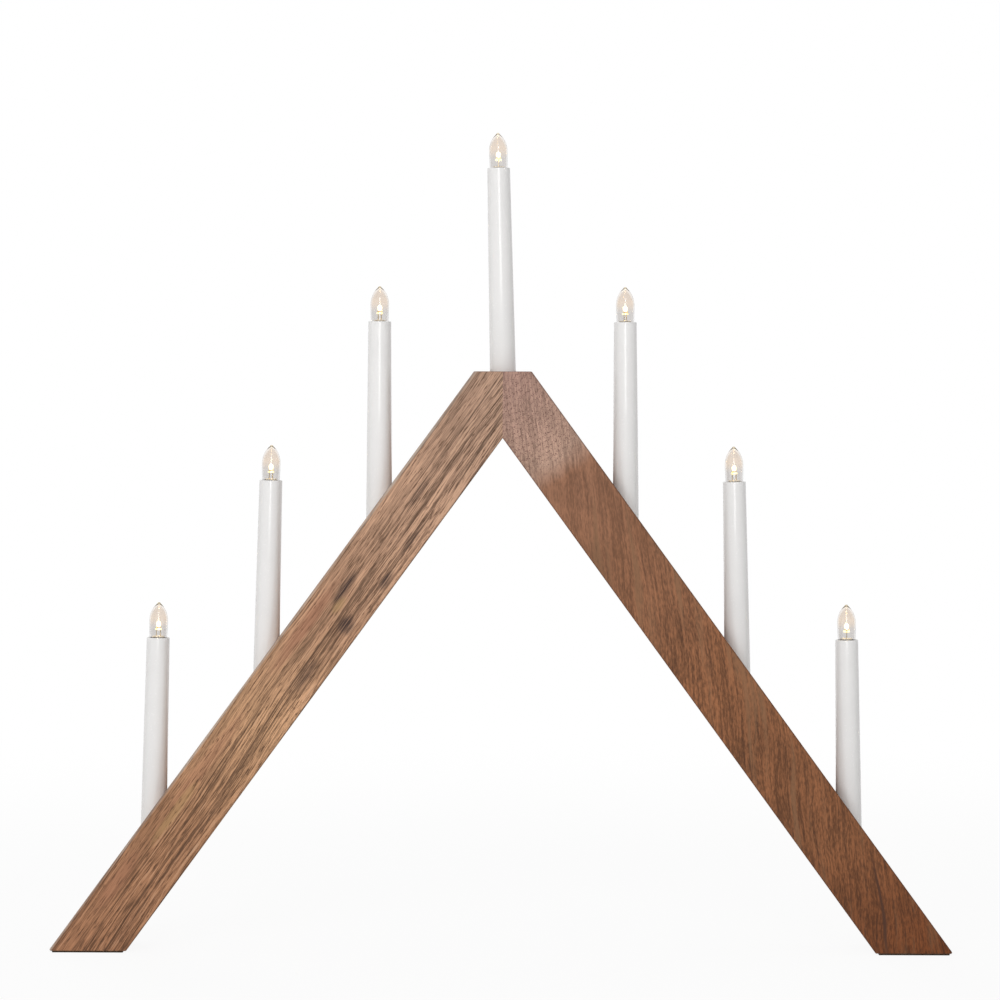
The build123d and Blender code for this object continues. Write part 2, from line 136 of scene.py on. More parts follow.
class ArchWoodSettings(bpy.types.PropertyGroup):
    """Sizes and colours of the wooden pieces."""

    lean: bpy.props.FloatProperty(
        name="Lean", description="Angle of a leg from the vertical", default=math.radians(36.1),
        subtype="ANGLE",
    )
    # Also paints the shade along the left leg's inner long edges
    left_dark_grain_and_edge_shade: tint("Left dark grain and edge shade", "Pores, dark fibres and painted edge shade of the left leg", (0.105, 0.052, 0.030))
    left_light: tint("Left streaks", "Palest fibres of the left leg", (0.50, 0.325, 0.215))
    left_ruddy: tint("Left stain", "Reddish stains of the left leg", (0.34, 0.145, 0.085))
    left_olive: tint("Left sap", "Yellowish spots of the left leg", (0.42, 0.27, 0.115))
    knot: tint("Knots", "Knots of the left leg", (0.042, 0.026, 0.024))
    # Painted highlight along the left leg's outer edge, and its width
    painted_edge_highlight: tint("Edge highlight", "Painted highlight along the outer edge of the left leg", (0.47, 0.40, 0.34))
    edge_highlight_width: bpy.props.FloatProperty(
        name="Highlight width", description="Width of the painted edge highlight", default=1.5 * MM, unit="LENGTH"
    )
    # Also paints the shade along the right leg's long edges
    right_dark_grain_and_edge_shade: tint("Right dark grain and edge shade", "Pores, dark fibres and painted edge shade of the right leg", (0.075, 0.030, 0.016))
    right_olive: tint("Right streaks", "Grey-olive streaks of the right leg", (0.20, 0.105, 0.052))
    end_pore: tint("End pores", "Pores of the right leg by the mitre", (0.165, 0.085, 0.068))
    dowel: tint("Dowel", "Beech of the mitre dowels", (0.56, 0.38, 0.22))
    strip: tint("Strip", "Stained wood of the cover strips", (0.20, 0.105, 0.058))


class ArchCandleSettings(bpy.types.PropertyGroup):
    """Colours of the candle tubes and the fittings."""

    tube: tint("Tube", "Off-white plastic of the tubes", (0.815, 0.805, 0.795))
    holder: tint("Holder", "Moulded plastic of the holders", (0.78, 0.75, 0.68))
    tip: tint("Tip", "Insulator under the screw caps", (0.035, 0.033, 0.032))
    brass: tint("Brass", "Shells and contact leaves of the holders", (0.72, 0.50, 0.19))
    sheath: tint("Sheath", "Insulation of the wires", (0.74, 0.73, 0.69))
    gland: tint("Gland", "Plastic of the cord gland", (0.055, 0.04, 0.033))
    steel: tint("Steel", "Screws of the cover strips", (0.58, 0.56, 0.52))
    # Real felt, its dark tone also painting the shade line under each foot
    felt: tint("Felt", "Felt under the feet, dark for the painted shade line under them", (0.075, 0.05, 0.032))


class ArchBulbSettings(bpy.types.PropertyGroup):
    """Colours and light of the screw bulbs."""

    clear: tint("Clear", "Clear plastic of the bulb, low down", (0.80, 0.783, 0.771))
    # Painted light of the diode's beam, tinting the clear plastic
    beam_glow_tint: tint("Warm", "Painted light of the diode's beam on the clear bulb", (0.866, 0.805, 0.753))
    # Painted shade on the bulb's outline
    rim: tint("Rim", "Painted dark outline of the clear bulb", (0.42, 0.41, 0.42))
    nickel: tint("Nickel", "Plating of the screw caps", (0.72, 0.69, 0.63))
    leads: tint("Leads", "Lead frames of the diodes", (0.74, 0.60, 0.36))
    light: tint("Light", "Warm white of the diodes", (1.0, 0.83, 0.55))
    glow: bpy.props.FloatProperty(
        name="Glow", description="Brightness of the lit diodes", default=90.0, min=0.0
    )


class ArchStageSettings(bpy.types.PropertyGroup):
    """Camera and lamps."""

    camera: bpy.props.FloatVectorProperty(
        name="Camera", description="Place of the camera", default=(0.0, -2.2225, 0.355), size=3,
        subtype="TRANSLATION",
    )
    lens: bpy.props.FloatProperty(
        name="Lens", description="Focal length in millimetres", default=130.7, min=1.0
    )
    shift: bpy.props.FloatVectorProperty(
        name="Shift", description="Shift of the picture, across and up", default=(-0.0029, -0.1313), size=2
    )
    roll: bpy.props.FloatProperty(
        name="Roll", description="Turn of the camera about its line of sight", default=math.radians(-0.2),
        subtype="ANGLE",
    )
    ambient: bpy.props.FloatProperty(
        name="Ambient", description="Brightness of the surrounding light", default=0.42, min=0.0
    )
    key: lamp_power("Key", "Power of the lamp at the front left", 29.0)
    fill: lamp_power("Fill", "Power of the tall lamp above the camera", 18.2)
    back: lamp_power("Back", "Power of the lamp behind the arch", 24.0)


# Modelling


def clear_selection():
    """Leaves edit mode and deselects everything."""
    if bpy.context.mode != "OBJECT":
        bpy.ops.object.mode_set(mode="OBJECT")
    bpy.ops.object.select_all(action="DESELECT")


def make_active(piece):
    """Selects one piece alone."""
    clear_selection()
    piece.select_set(True)
    bpy.context.view_layer.objects.active = piece


def named(piece, name):
    """Gives a piece and its mesh one name."""
    piece.name = name
    piece.data.name = name
    return piece


def smooth(piece):
    """Shades a piece smooth, with its corners kept."""
    make_active(piece)
    bpy.ops.object.shade_smooth_by_angle(angle=SMOOTH_ANGLE)
    return piece


def turned(name, outline, steps):
    """Turns an outline of (radius, height) points in millimetres about the upright axis."""
    clear_selection()
    bpy.ops.mesh.primitive_plane_add(size=MM)
    piece = named(bpy.context.object, name)
    bpy.ops.object.mode_set(mode="EDIT")
    bpy.ops.mesh.select_mode(type="VERT")
    bpy.ops.mesh.select_all(action="SELECT")
    bpy.ops.mesh.merge(type="CENTER")
    radius, height = outline[0]
    bpy.ops.transform.translate(value=(radius * MM, 0, height * MM))
    for (r0, z0), (r1, z1) in zip(outline, outline[1:]):
        step = ((r1 - r0) * MM, 0, (z1 - z0) * MM)
        bpy.ops.mesh.extrude_vertices_move(TRANSFORM_OT_translate={"value": step})
    bpy.ops.mesh.select_all(action="SELECT")
    bpy.ops.mesh.spin(steps=steps, angle=math.tau, center=(0, 0, 0), axis=(0, 0, 1))
    bpy.ops.mesh.select_all(action="SELECT")
    bpy.ops.mesh.remove_doubles(threshold=MERGE)
    bpy.ops.mesh.normals_make_consistent(inside=False)
    bpy.ops.object.mode_set(mode="OBJECT")
    return piece


def block(name, low, high):
    """A box between two corners in millimetres, left in edit mode."""
    clear_selection()
    bpy.ops.mesh.primitive_cube_add(size=1.0)
    piece = named(bpy.context.object, name)
    bpy.ops.object.mode_set(mode="EDIT")
    bpy.ops.mesh.select_all(action="SELECT")
    size = [(b - a) * MM for a, b in zip(low, high)]
    middle = [(a + b) / 2 * MM for a, b in zip(low, high)]
    bpy.ops.transform.resize(value=size, center_override=(0, 0, 0))
    bpy.ops.transform.translate(value=middle)
    return piece


def pick_faces(piece, test):
    """Selects, in edit mode, the faces whose centre and normal pass a test."""
    bpy.ops.object.mode_set(mode="OBJECT")
    for parts in (piece.data.vertices, piece.data.edges, piece.data.polygons):
        parts.foreach_set("select", [False] * len(parts))
    for face in piece.data.polygons:
        face.select = test(face.center / MM, face.normal)
    bpy.ops.object.mode_set(mode="EDIT")
    bpy.ops.mesh.select_mode(type="FACE")


def grow_top(piece, move, scale, centre):
    """Extrudes the topmost face and tapers its end about a centre, both in millimetres."""
    top = max(v.co.z for v in piece.data.vertices) / MM
    level = top - 0.01
    pick_faces(piece, lambda middle, normal: normal.z > UPWARD and middle.z > level)
    bpy.ops.mesh.extrude_region_move(TRANSFORM_OT_translate={"value": [v * MM for v in move]})
    middle = (centre[0] * MM, centre[1] * MM, (top + move[2]) * MM)
    bpy.ops.transform.resize(value=(scale[0], scale[1], 1), center_override=middle)
    bpy.ops.object.mode_set(mode="OBJECT")


def joined(name, pieces):
    """Joins pieces into the first of them."""
    clear_selection()
    for piece in pieces:
        piece.select_set(True)
    bpy.context.view_layer.objects.active = pieces[0]
    bpy.ops.object.join()
    return named(bpy.context.object, name)


def arc(centre, radius, start, end, count):
    """Points on an arc between two angles in degrees."""
    angles = [math.radians(start + (end - start) * i / count) for i in range(count + 1)]
    return [(centre[0] + radius * math.cos(a), centre[1] + radius * math.sin(a)) for a in angles]


def sweep_curve(start, control, end, count):
    """Points on a quadratic curve."""
    points = []
    for i in range(count + 1):
        t = i / count
        weights = ((1 - t) ** 2, 2 * t * (1 - t), t * t)
        points.append(tuple(sum(w * p[k] for w, p in zip(weights, (start, control, end))) for k in (0, 1)))
    return points


def keep_height(piece):
    """Stores each point's height above the rim of the tube, for the finishes."""
    heights = piece.data.attributes.new("height", "FLOAT", "POINT")
    heights.data.foreach_set("value", [v.co.z / MM for v in piece.data.vertices])
    return piece


def rim_places(turned_by=None):
    """Matrix of each candle's rim, left to right."""
    places = []
    for i, joint in enumerate(SCREW_JOINTS):
        axis = joint["axis"]
        lean = Matrix.Rotation(math.atan2(axis[0], axis[2]), 4, "Y")
        turn = Matrix.Rotation(math.radians(turned_by[i]) if turned_by else 0.0, 4, "Z")
        places.append(Matrix.Translation(joint["pos_m"]) @ lean @ turn)
    return places


def set_out(model, names, places):
    """Copies a piece to each place, every copy with its own mesh, and removes the model."""
    copies = []
    for name, place in zip(names, places):
        make_active(model)
        bpy.ops.object.duplicate(linked=False)
        copy = named(bpy.context.object, name)
        copy.matrix_world = place
        bpy.ops.object.transform_apply(location=True, rotation=True, scale=True)
        copies.append(copy)
    bpy.data.objects.remove(model)
    return copies


def numbered(name):
    """Names of the seven copies of a piece."""
    return [f"{name}_{n}" for n in NUMBERS]


# Finishes


class Value:
    """An output of a node; sums, differences, products and quotients of it add Math nodes."""

    def __init__(self, nodes, socket):
        self.nodes = nodes
        self.socket = socket

    def math(self, operation, *others, first=None):
        terms = (first, self) if first is not None else (self, *others)
        return self.nodes.add("ShaderNodeMath", {"operation": operation}, dict(enumerate(terms)))

    def __add__(self, other):
        return self.math("ADD", other)

    __radd__ = __add__

    def __mul__(self, other):
        return self.math("MULTIPLY", other)

    __rmul__ = __mul__

    def __sub__(self, other):
        return self.math("SUBTRACT", other)

    def __rsub__(self, other):
        return self.math("SUBTRACT", first=other)

    def __truediv__(self, other):
        return self.math("DIVIDE", other)


class Nodes:
    """The node tree of a finish."""

    def __init__(self, tree):
        self.tree = tree
        tree.nodes.clear()

    def add(self, kind, settings=None, inputs=None, output=0):
        """Adds a node with its settings and its sockets' values or links, and gives one output."""
        node = self.tree.nodes.new(kind)
        for name, value in (settings or {}).items():
            if name == "stops":
                self.set_stops(node.color_ramp, value)
            else:
                setattr(node, name, value)
        for key, value in (inputs or {}).items():
            if isinstance(value, Value):
                self.tree.links.new(value.socket, node.inputs[key])
            else:
                node.inputs[key].default_value = value
        return Value(self, node.outputs[output]) if node.outputs else node

    @staticmethod
    def set_stops(ramp, stops):
        while len(ramp.elements) < len(stops):
            ramp.elements.new(1.0)
        for element, (place, colour) in zip(ramp.elements, stops):
            element.position = place
            element.color = (*colour, 1.0)

    def point(self):
        return self.add("ShaderNodeTexCoord", output="Object")

    def height(self):
        return self.add("ShaderNodeAttribute", {"attribute_name": "height"}, output="Fac")

    def dot(self, vector, axis):
        settings = {"operation": "DOT_PRODUCT"}
        return self.add("ShaderNodeVectorMath", settings, {0: vector, 1: axis}, output="Value")

    def vector(self, x, y, z):
        return self.add("ShaderNodeCombineXYZ", None, {0: x, 1: y, 2: z})

    def noise(self, vector, scale=1.0, detail=2.0, roughness=0.5, distortion=0.0):
        return self.add("ShaderNodeTexNoise", None, {
            "Vector": vector, "Scale": scale, "Detail": detail, "Roughness": roughness,
            "Distortion": distortion,
        })

    def fit(self, value, low, high, to_low=0.0, to_high=1.0):
        """Maps a value from one range to another with soft ends."""
        inputs = {0: value, 1: low, 2: high, 3: to_low, 4: to_high}
        return self.add("ShaderNodeMapRange", {"interpolation_type": "SMOOTHSTEP"}, inputs)

    def mix(self, share, first, second):
        first, second = (v if isinstance(v, Value) else (*v, 1.0) for v in (first, second))
        return self.add("ShaderNodeMix", {"data_type": "RGBA"}, {0: share, 6: first, 7: second}, output=2)

    def scaled(self, colour, factor):
        inputs = {0: colour, "Scale": factor}
        return self.add("ShaderNodeVectorMath", {"operation": "SCALE"}, inputs)

    def ramp(self, value, stops):
        return self.add("ShaderNodeValToRGB", {"stops": stops}, {0: value})

    def bump(self, height, strength, distance):
        inputs = {"Height": height, "Strength": strength, "Distance": distance}
        return self.add("ShaderNodeBump", None, inputs)

    def plainly_seen(self):
        """One for rays that come from the camera, from a gloss or through something clear."""
        rays = ("Is Camera Ray", "Is Glossy Ray", "Is Transmission Ray")
        seen, glossy, through = (self.add("ShaderNodeLightPath", output=ray) for ray in rays)
        return (seen + glossy + through).math("MINIMUM", 1.0)


def finish(name):
    """A new material and its nodes."""
    material = bpy.data.materials.new(name)
    material.use_nodes = True
    return material, Nodes(material.node_tree)


def surface(nodes, inputs):
    """Adds the principled surface of a finish and its output."""
    shader = nodes.add("ShaderNodeBsdfPrincipled", None, inputs)
    nodes.add("ShaderNodeOutputMaterial", None, {"Surface": shader})


def wear(piece, material):
    """Puts a finish on a piece or on a CAD node."""
    piece.data.materials.clear()
    piece.data.materials.append(material)


def dress(piece, material, body, node):
    """Gives a new piece its finish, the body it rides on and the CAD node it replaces."""
    wear(piece, material)
    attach(piece, body)
    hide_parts(node)


def leg_axes(side, lean):
    """Directions up a leg and out of its outer face."""
    along = Vector((-side * math.sin(lean), 0, math.cos(lean)))
    out = Vector((side * math.cos(lean), 0, math.sin(lean)))
    return along, out


def span(node, axis):
    """Lowest and highest place of a node along an axis."""
    places = [v.co.dot(axis) for v in NODES[node].data.vertices]
    return min(places), max(places)


def leg_coordinates(nodes, node, side, lean, grain):
    """Place along a leg, under its outer face, in its depth, along and across its grain, and its length."""
    point = nodes.point()
    along_axis, out_axis = leg_axes(side, lean)
    foot, top = span(node, along_axis)
    face = span(node, out_axis)[1]
    along = nodes.dot(point, along_axis) - foot
    under = face - nodes.dot(point, out_axis)
    deep = nodes.dot(point, (0, 1, 0))
    sway = nodes.noise(nodes.vector(along * 9, under * 30, deep * 30), detail=1.0)
    run = along * math.cos(grain) - under * math.sin(grain)
    cross = under * math.cos(grain) + along * math.sin(grain) + (sway - 0.5) * (7 * MM)
    return along, under, deep, run, cross, top - foot


def arris_distance(from_face, deep):
    """Distance from a face's long edges at the front and the back, doubled along the face itself."""
    inside = LEG_DEPTH / 2 * MM - deep.math("ABSOLUTE")
    return from_face.math("MAXIMUM", inside * 2)


def spots(nodes, along, under, sway, places):
    """Sum of soft oval spots at (along, under, length, width, strength), in millimetres."""
    total = None
    for at_along, at_under, length, width, strength in places:
        a = (along - at_along * MM) / (length * MM)
        u = (under - at_under * MM) / (width * MM)
        nearness = 1 - a * a - u * u + (sway - 0.5) * 1.6
        spot = nodes.fit(nearness, 0.0, 1.0, 0.0, strength)
        total = spot if total is None else total + spot
    return total


def left_wood(wood):
    """Brown open-grained timber with fine dark lines, knots, a painted highlight along its outer edge and
    painted shade along its inner edges.
    """
    material, n = finish("left_leg_wood")
    grain_turn = math.radians(1.5)
    along, under, deep, run, cross, length = leg_coordinates(n, "left_leg", LEFT, wood.lean, grain_turn)
    band = n.noise(n.vector(run * 4, cross * 75, deep * 75), detail=2.0)
    grain = n.noise(n.vector(run * 5, cross * 640, deep * 640), detail=3.0, roughness=0.65)
    fine = n.noise(n.vector(run * 26, cross * 1500, deep * 1500), detail=3.0, roughness=0.7)
    pore = n.noise(n.vector(run * 130, cross * 1500, deep * 1500), detail=2.0, roughness=0.65)
    lined = n.fit(under + (band - 0.5) * (16 * MM), 8 * MM, 22 * MM, 0.55, 1.0)
    patch = n.noise(n.vector(along * 24, under * 70, deep * 70), detail=4.0, roughness=0.65)
    base = n.ramp(along / length, (
        (0.0, (0.295, 0.141, 0.074)), (0.25, (0.302, 0.153, 0.080)), (0.42, (0.450, 0.254, 0.139)),
        (0.58, (0.37, 0.206, 0.122)), (0.74, (0.41, 0.242, 0.155)), (1.0, (0.315, 0.197, 0.137)),
    ))
    lines = (grain * 0.42 + fine * 0.52 + pore * 0.26 - 0.6) * lined + (band - 0.5) * 0.07
    tone = n.fit(lines, -0.11, 0.11, 0.40, 1.66)
    colour = n.scaled(base, tone * n.fit(patch, 0.3, 0.7, 0.89, 1.11))
    pale = n.fit(lines, 0.05, 0.16, 0.0, 0.75)
    colour = n.mix(pale, colour, wood.left_light)
    ruddy = spots(n, along, under, patch, (
        (250, 9, 45, 5, 0.55), (150, 10, 60, 5, 0.3), (60, 9, 30, 6, 0.35),
    ))
    colour = n.mix(ruddy, colour, wood.left_ruddy)
    olive = spots(n, along, under, patch, ((272, 18, 8, 4, 0.5), (110, 12, 30, 3.5, 0.45)))
    colour = n.mix(olive, colour, wood.left_olive)
    open_pore = n.fit(pore, 0.43, 0.33, 0.0, 0.7)
    colour = n.mix(open_pore, colour, wood.left_dark_grain_and_edge_shade)
    ring = n.fit(grain * 0.85 + band * 0.15, 0.43, 0.36, 0.0, 0.4) * lined
    colour = n.mix(ring, colour, wood.left_dark_grain_and_edge_shade)
    inward = deep + LEG_DEPTH / 2 * MM
    knots = spots(n, along + inward * 0.9, under + inward * 0.12, patch, (
        (356, 16.5, 17, 3.6, 0.9), (283, 14.5, 15, 4.0, 1.1), (265, 28.5, 9, 6.0, 1.25),
        (301, 32.5, 9, 3.5, 0.95), (226, 27, 16, 6.0, 0.7), (330, 30, 14, 3.0, 0.5),
        (105, 31, 40, 3.0, 0.25), (40, 30, 26, 3.5, 0.2),
    ))
    colour = n.mix(knots * n.fit(fine, 0.66, 0.36, 0.35, 1.0), colour, wood.knot)
    # Painted highlight: a paler grey strip along the outer long edges, where the rounded edge catches the
    # light
    outer = arris_distance(under, deep) + (band - 0.5) * (1.6 * MM)
    edge_highlight_mask = n.fit(outer, wood.edge_highlight_width * 1.2, wood.edge_highlight_width * 0.6)
    colour = n.mix(edge_highlight_mask * n.fit(patch * 0.6 + grain * 0.4, 0.4, 0.6, 0.25, 0.75), colour, wood.painted_edge_highlight)
    # Painted shade: a thin dark line along the inner long edges, in the colour of the pores
    shade = n.fit(arris_distance(LEG_FACE * MM - under, deep), 1.2 * MM, 0.3 * MM, 0.0, 0.6)
    colour = n.mix(shade, colour, wood.left_dark_grain_and_edge_shade)
    rough = n.fit(fine, 0.3, 0.7, 0.64, 0.5) + open_pore * 0.15
    relief = n.bump(fine * 0.5 + grain * 0.3 - open_pore, 0.5, 0.2 * MM)
    surface(n, {"Base Color": colour, "Roughness": rough, "Normal": relief, "Specular IOR Level": 0.22})
    return material


def right_wood(wood):
    """Redder, closer timber whose grain stands nearly upright, paler by the mitre, with painted shade
    darkening it towards the foot and along its long edges.
    """
    material, n = finish("right_leg_wood")
    grain_turn = math.radians(30)
    along, under, deep, run, cross, length = leg_coordinates(n, "right_leg", RIGHT, wood.lean, grain_turn)
    streak = n.noise(n.vector(run * 9, cross * 150, deep * 150), detail=3.0, roughness=0.55)
    fibre = n.noise(n.vector(run * 30, cross * 700, deep * 700), detail=3.0, roughness=0.6)
    speck = n.noise(n.vector(run * 300, cross * 1300, deep * 1300), detail=2.0, roughness=0.6)
    cloud = n.noise(n.vector(along * 26, under * 40, deep * 40), detail=2.0, roughness=0.5)
    share = along / length + (cloud - 0.5) * 0.06
    # Painted shade: the base colour darkens from the mitre down to the foot
    base = n.ramp(share, (
        (0.0, (0.127, 0.036, 0.009)), (0.22, (0.194, 0.076, 0.031)), (0.5, (0.224, 0.091, 0.039)),
        (0.72, (0.228, 0.102, 0.052)), (0.83, (0.265, 0.125, 0.070)), (0.862, (0.40, 0.255, 0.188)),
        (1.0, (0.345, 0.208, 0.165)),
    ))
    calm = n.fit(share, 0.55, 0.75, 1.0, 0.6)
    tone = 1 + calm * n.fit(streak * 0.22 + fibre * 0.38 + speck * 0.4, 0.39, 0.61, -0.45, 0.48)
    colour = n.scaled(base, tone * n.fit(cloud, 0.3, 0.7, 0.88, 1.12))
    olive = n.fit(streak, 0.52, 0.66, 0.0, 0.6) * n.fit(share, 0.84, 0.74)
    colour = n.mix(olive, colour, wood.right_olive)
    pore = n.fit(fibre * 0.6 + speck * 0.4, 0.42, 0.32, 0.0, 0.65) * calm
    colour = n.mix(pore, colour, wood.right_dark_grain_and_edge_shade)
    by_mitre = n.fit(share, 0.83, 0.88)
    rings = n.add("ShaderNodeTexWave", {"wave_type": "RINGS", "rings_direction": "SPHERICAL"}, {
        "Vector": n.vector(along - length, under * 0.6 - 8 * MM, deep * 0.3), "Scale": 95.0,
        "Distortion": 3.0, "Detail": 2.0, "Detail Scale": 2.0,
    }, output="Fac")
    dots = n.noise(n.point(), scale=1250.0, detail=2.0, roughness=0.6)
    end_pore = n.fit(dots + rings * 0.08, 0.51, 0.39, 0.0, 0.95) * by_mitre
    colour = n.mix(end_pore, colour, wood.end_pore)
    crack = spots(n, run, cross - run * 0.086, cloud, ((30, 37.6, 36, 1.2, 1.0),))
    colour = n.mix(crack, colour, wood.right_dark_grain_and_edge_shade)
    # Painted shade: dark lines along the outer and inner long edges, in the colour of the pores
    edge = n.fit(arris_distance(under, deep), 0.9 * MM, 0.3 * MM, 0.0, 0.6)
    edge = edge + n.fit(arris_distance(LEG_FACE * MM - under, deep), 0.9 * MM, 0.3 * MM, 0.0, 0.5)
    colour = n.mix(edge, colour, wood.right_dark_grain_and_edge_shade)
    rough = n.fit(streak, 0.3, 0.7, 0.58, 0.46)
    relief = n.bump(fibre * 0.5 + speck * 0.3 - end_pore * 0.6, 0.35, 0.15 * MM)
    surface(n, {"Base Color": colour, "Roughness": rough, "Normal": relief, "Specular IOR Level": 0.22})
    return material


def plain_wood(name, colour, side, wood, contrast):
    """Straight-grained timber along a leg or a dowel."""
    material, n = finish(name)
    point = n.point()
    axis, out = leg_axes(side, wood.lean) if side else (Vector((1, 0, 0)), Vector((0, 0, 1)))
    run, cross, deep = n.dot(point, axis), n.dot(point, out), n.dot(point, (0, 1, 0))
    band = n.noise(n.vector(run * 8, cross * 90, deep * 140), detail=4.0, roughness=0.6)
    pore = n.fit(n.noise(n.vector(run * 90, cross * 900, deep * 900), detail=2.0), 0.44, 0.34, 0.0, 0.6)
    tone = n.scaled(n.vector(*colour), n.fit(band, 0.3, 0.7, 1 - contrast, 1 + contrast))
    colour = n.mix(pore, tone, [c * 0.35 for c in colour])
    relief = n.bump(band - pore, 0.35, 0.15 * MM)
    rough = n.fit(band, 0.3, 0.7, 0.66, 0.5)
    surface(n, {"Base Color": colour, "Roughness": rough, "Normal": relief, "Specular IOR Level": 0.22})
    return material


def moulded(name, colour, rough, mottle=0.04, grain=500.0, coat=0.0):
    """Moulded plastic with a faint mottle and a fine skin."""
    material, n = finish(name)
    point = n.point()
    cloud = n.noise(point, scale=45.0, detail=3.0)
    skin = n.noise(point, scale=grain, detail=2.0)
    tone = n.scaled(n.vector(*colour), n.fit(cloud, 0.3, 0.7, 1 - mottle, 1 + mottle))
    surface(n, {
        "Base Color": tone,
        "Roughness": n.fit(skin, 0.3, 0.7, rough * 0.85, rough * 1.15),
        "Normal": n.bump(skin, 0.08, 0.05 * MM),
        "Coat Weight": coat,
        "Coat Roughness": 0.08,
    })
    return material


def metal(name, colour, rough, grain):
    """Metal with fine drawn lines and dulled patches."""
    material, n = finish(name)
    point = n.point()
    axes = ((1, 0, 0), (0, 1, 0), (0, 0, 1))
    drawn = [n.dot(point, axis) * scale for axis, scale in zip(axes, grain)]
    lines = n.noise(n.vector(*drawn), detail=3.0)
    dull = n.noise(point, scale=160.0, detail=3.0)
    surface(n, {
        "Base Color": n.scaled(n.vector(*colour), n.fit(dull, 0.35, 0.7, 1.05, 0.82)),
        "Metallic": 1.0,
        "Roughness": n.fit(lines * 0.5 + dull * 0.5, 0.3, 0.7, rough * 0.8, rough * 1.35),
        "Normal": n.bump(lines, 0.1, 0.03 * MM),
    })
    return material


def felt_finish(colour):
    """Pressed felt with loose fibres."""
    material, n = finish("foot_felt")
    point = n.point()
    fuzz = n.noise(point, scale=1800.0, detail=4.0, roughness=0.7, distortion=0.6)
    cloud = n.noise(point, scale=220.0, detail=2.0)
    tone = n.scaled(n.vector(*colour), n.fit(fuzz * 0.6 + cloud * 0.4, 0.3, 0.7, 0.6, 1.5))
    surface(n, {
        "Base Color": tone,
        "Roughness": n.fit(fuzz, 0.3, 0.7, 0.98, 0.85),
        "Normal": n.bump(fuzz, 0.8, 0.4 * MM),
        "Specular IOR Level": 0.1,
    })
    return material


def clear_flame(bulb):
    """Clear bulb plastic: pale violet-grey low down, tinted by painted light of the diode's beam higher up,
    with a painted glow up to its tip and painted shade on its outline.
    """
    material, n = finish("bulb_clear_plastic")
    height = n.height()
    # Painted light: the plastic's colour turns yellowish between 5 and 13 mm up, where the diode's beam
    # falls
    beam = n.fit(height, 5.0, 13.0)
    flow = n.noise(n.point(), scale=260.0, detail=2.0)
    # Painted glow: the clear plastic emits a faint light from a quarter of its height up, and a brighter
    # one at its tip
    painted_glow = n.ramp(height / FLAME_TOP, (
        (0.25, (0.0, 0.0, 0.0)), (0.42, (0.016, 0.010, 0.002)), (0.55, (0.018, 0.012, 0.003)),
        (0.72, (0.004, 0.003, 0.0)), (0.9, (0.01, 0.008, 0.005)), (1.0, (0.33, 0.27, 0.17)),
    ))
    clear = n.add("ShaderNodeBsdfPrincipled", None, {
        "Base Color": n.mix(beam, bulb.clear, bulb.beam_glow_tint),
        "Roughness": n.fit(flow, 0.3, 0.7, 0.015, 0.04),
        "Normal": n.bump(flow, 0.03, 0.05 * MM),
        "Transmission Weight": 1.0,
        "IOR": 1.49,
        "Emission Color": painted_glow,
        "Emission Strength": 1.0,
    })
    # Painted shade: a grey matte shader is mixed in where the surface turns away, darkening the bulb's
    # outline
    rim = n.add("ShaderNodeBsdfDiffuse", None, {"Color": (*bulb.rim, 1.0)})
    edge = n.add("ShaderNodeLayerWeight", None, {"Blend": 0.5}, output="Facing")
    both = n.add("ShaderNodeMixShader", None, {0: n.fit(edge, 0.66, 0.98, 0.0, 0.62), 1: clear, 2: rim})
    n.add("ShaderNodeOutputMaterial", None, {"Surface": both})
    return material


def lit_lens(bulb):
    """Clear resin of the diode, glowing above its lead frame."""
    material, n = finish("diode_resin")
    lit = (n.height() - LENS_FOOT) / LENS_LENGTH
    cloud = n.noise(n.point(), scale=900.0, detail=2.0)
    glow = n.ramp(lit * n.fit(cloud, 0.2, 0.8, 0.97, 1.03), (
        (0.0, (0.62, 0.48, 0.22)), (0.17, (0.70, 0.55, 0.26)), (0.24, (0.08, 0.05, 0.018)),
        (0.42, (0.16, 0.11, 0.045)), (0.62, (0.62, 0.48, 0.27)), (1.0, tuple(bulb.light)),
    ))
    surface(n, {
        "Base Color": n.mix(lit, (0.97, 0.90, 0.76), (1.0, 0.95, 0.84)),
        "Roughness": n.fit(cloud, 0.3, 0.7, 0.04, 0.09),
        "Transmission Weight": 1.0,
        "IOR": 1.5,
        "Emission Color": glow,
        "Emission Strength": 1.3,
    })
    return material


def lit_plug(bulb):
    """Pale plug of the bulb, its top lit by the diode."""
    material, n = finish("plug_plastic")
    skin = n.noise(n.point(), scale=700.0, detail=2.0)
    lit = n.fit(n.height() + (skin - 0.5) * 0.5, 0.2, PLUG_TOP, 0.0, 0.5)
    surface(n, {
        "Base Color": n.mix(skin, (0.82, 0.76, 0.66), (0.88, 0.83, 0.74)),
        "Roughness": n.fit(skin, 0.3, 0.7, 0.36, 0.48),
        "Normal": n.bump(skin, 0.08, 0.05 * MM),
        "Emission Color": n.scaled(n.vector(*bulb.light), lit),
        "Emission Strength": 1.0,
    })
    return material


def lit_chip(bulb):
    """Phosphor over the chip, lit."""
    material, n = finish("diode_phosphor")
    grain = n.noise(n.point(), scale=2600.0, detail=2.0)
    surface(n, {
        "Base Color": n.mix(grain, (0.9, 0.75, 0.3), (0.95, 0.82, 0.4)),
        "Roughness": 0.6,
        "Emission Color": n.scaled(n.vector(*bulb.light), n.fit(grain, 0.3, 0.7, 0.92, 1.08)),
        "Emission Strength": bulb.glow,
    })
    return material


# Operators


